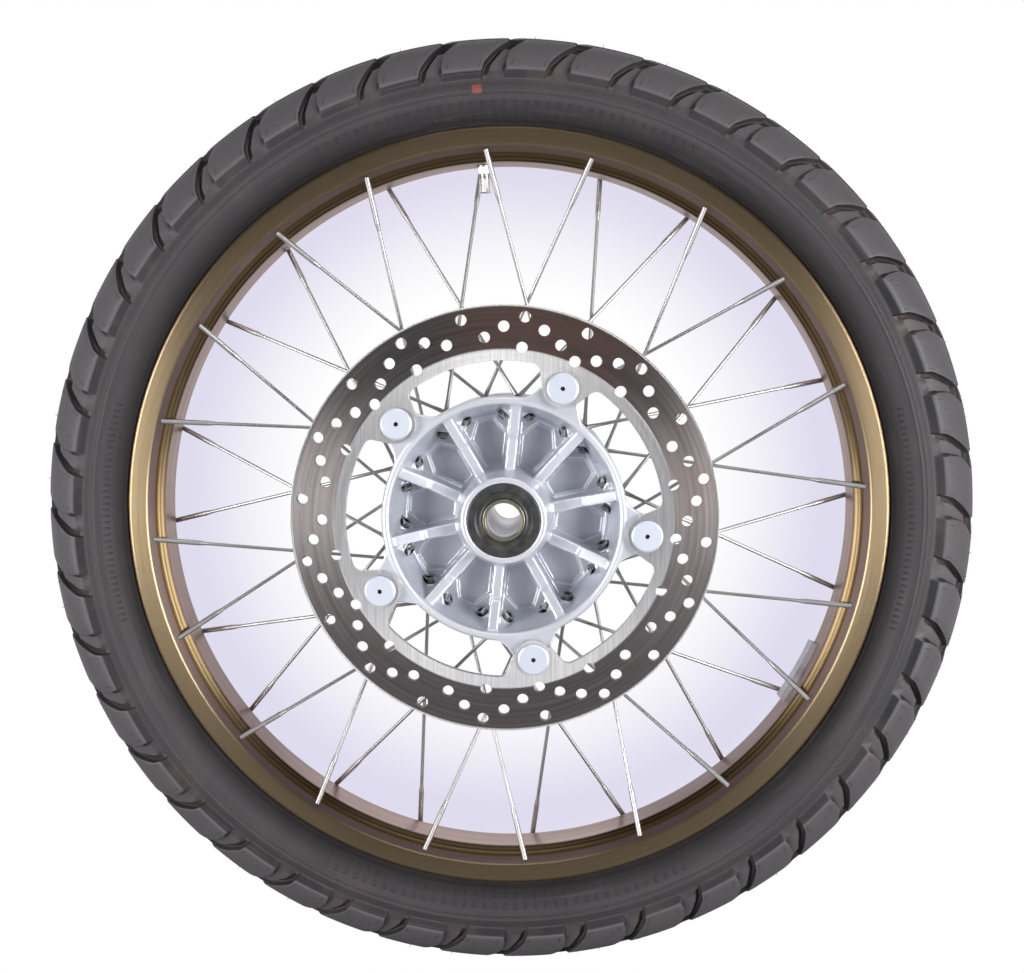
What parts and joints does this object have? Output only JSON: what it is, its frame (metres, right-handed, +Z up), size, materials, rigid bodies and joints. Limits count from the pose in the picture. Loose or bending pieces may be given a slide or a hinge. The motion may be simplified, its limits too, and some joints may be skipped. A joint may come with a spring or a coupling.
{
  "type": "spoked wheel",
  "caption": "Wire-spoked front wheel with a block-tread tyre, bronze rim, drilled brake disc, silver double-bowl hub, crossed straight spokes, ball bearings and a tyre valve.",
  "frame": {"origin": "wheel centre: on the axle line, in the middle plane of the rim", "axes": "+Z up, axle along Y with the brake disc towards -Y, +X to the right when the disc side is seen"},
  "size_m": [0.695, 0.122, 0.695],
  "materials": {
    "tyre": "matt moulded rubber with brown dust in the grooves",
    "rim": "bronze anodised, satin, brighter where it catches the light",
    "hub": "silver paint over a slightly grained casting",
    "brake_disc": "ground steel with turning streaks, darker in the swept band",
    "disc_bolts": "pale zinc plating",
    "spoke_steel": "bright drawn stainless steel",
    "nipple_steel": "plated steel, dulled",
    "seal_rubber": "black rubber, slightly shiny",
    "bearing_steel": "ground bearing steel",
    "brass": "plain brass",
    "collar_steel": "olive-tinted steel with a worn lip",
    "sleeve_aluminium": "plain turned aluminium",
    "valve_stem": "nickel plated, worn",
    "valve_nut": "bright nickel plating",
    "valve_cap": "chromed, with grip flutes",
    "balance_weight": "grey coated strip"
  },
  "bodies": {
    "axle_set": {"distance_sleeve": "sleeve_aluminium", "inner_race_disc_side": "bearing_steel", "inner_race_plain_side": "bearing_steel", "axle_collar_disc_side": "collar_steel", "axle_collar_plain_side": "collar_steel"},
    "wheel": {"tyre": "tyre", "rim": "rim", "hub": "hub", "brake_disc": "brake_disc", "disc_bolts": "disc_bolts", "spokes_disc_edge": "spoke_steel", "spokes_plain_edge": "spoke_steel", "nipples_disc_side": "nipple_steel", "nipples_plain_side": "nipple_steel", "shaft_seal_disc_side": "seal_rubber", "shaft_seal_plain_side": "seal_rubber", "outer_race_disc_side": "bearing_steel", "outer_race_plain_side": "bearing_steel", "bearing_shields_disc_side": "seal_rubber", "bearing_shields_plain_side": "seal_rubber", "valve_stem": "valve_stem", "valve_seal": "seal_rubber", "valve_nut": "valve_nut", "valve_core": "brass", "balance_weight": "balance_weight"},
    "ball_set_disc_side": {"bearing_balls_disc_side": "bearing_steel", "bearing_cage_disc_side": "brass"},
    "ball_set_plain_side": {"bearing_balls_plain_side": "bearing_steel", "bearing_cage_plain_side": "brass"},
    "valve_pin": {"valve_pin": "brass"},
    "valve_cap": {"valve_cap": "valve_cap"}
  },
  "joints": [
    {"name": "wheel_spin", "type": "hinge", "parent": "axle_set", "child": "wheel", "pos_m": [0, 0, 0], "axis": [0, 1, 0], "continuous": true},
    {"name": "balls_disc_side_roll", "type": "hinge", "parent": "axle_set", "child": "ball_set_disc_side", "pos_m": [0, 0, 0], "axis": [0, 1, 0], "continuous": true},
    {"name": "balls_plain_side_roll", "type": "hinge", "parent": "axle_set", "child": "ball_set_plain_side", "pos_m": [0, 0, 0], "axis": [0, 1, 0], "continuous": true},
    {"name": "valve_press", "type": "slide", "parent": "wheel", "child": "valve_pin", "axis": [-0.0663, 0, 0.9978], "range_m": [0, 0.0015]},
    {"name": "valve_cap_off", "type": "slide", "parent": "wheel", "child": "valve_cap", "axis": [0.0663, 0, -0.9978], "range_m": [0, 0.018]}
  ],
  "couplings": [
    {"joint": "balls_disc_side_roll", "follows": "wheel_spin", "ratio": 0.6018},
    {"joint": "balls_plain_side_roll", "follows": "wheel_spin", "ratio": 0.6018}
  ]
}
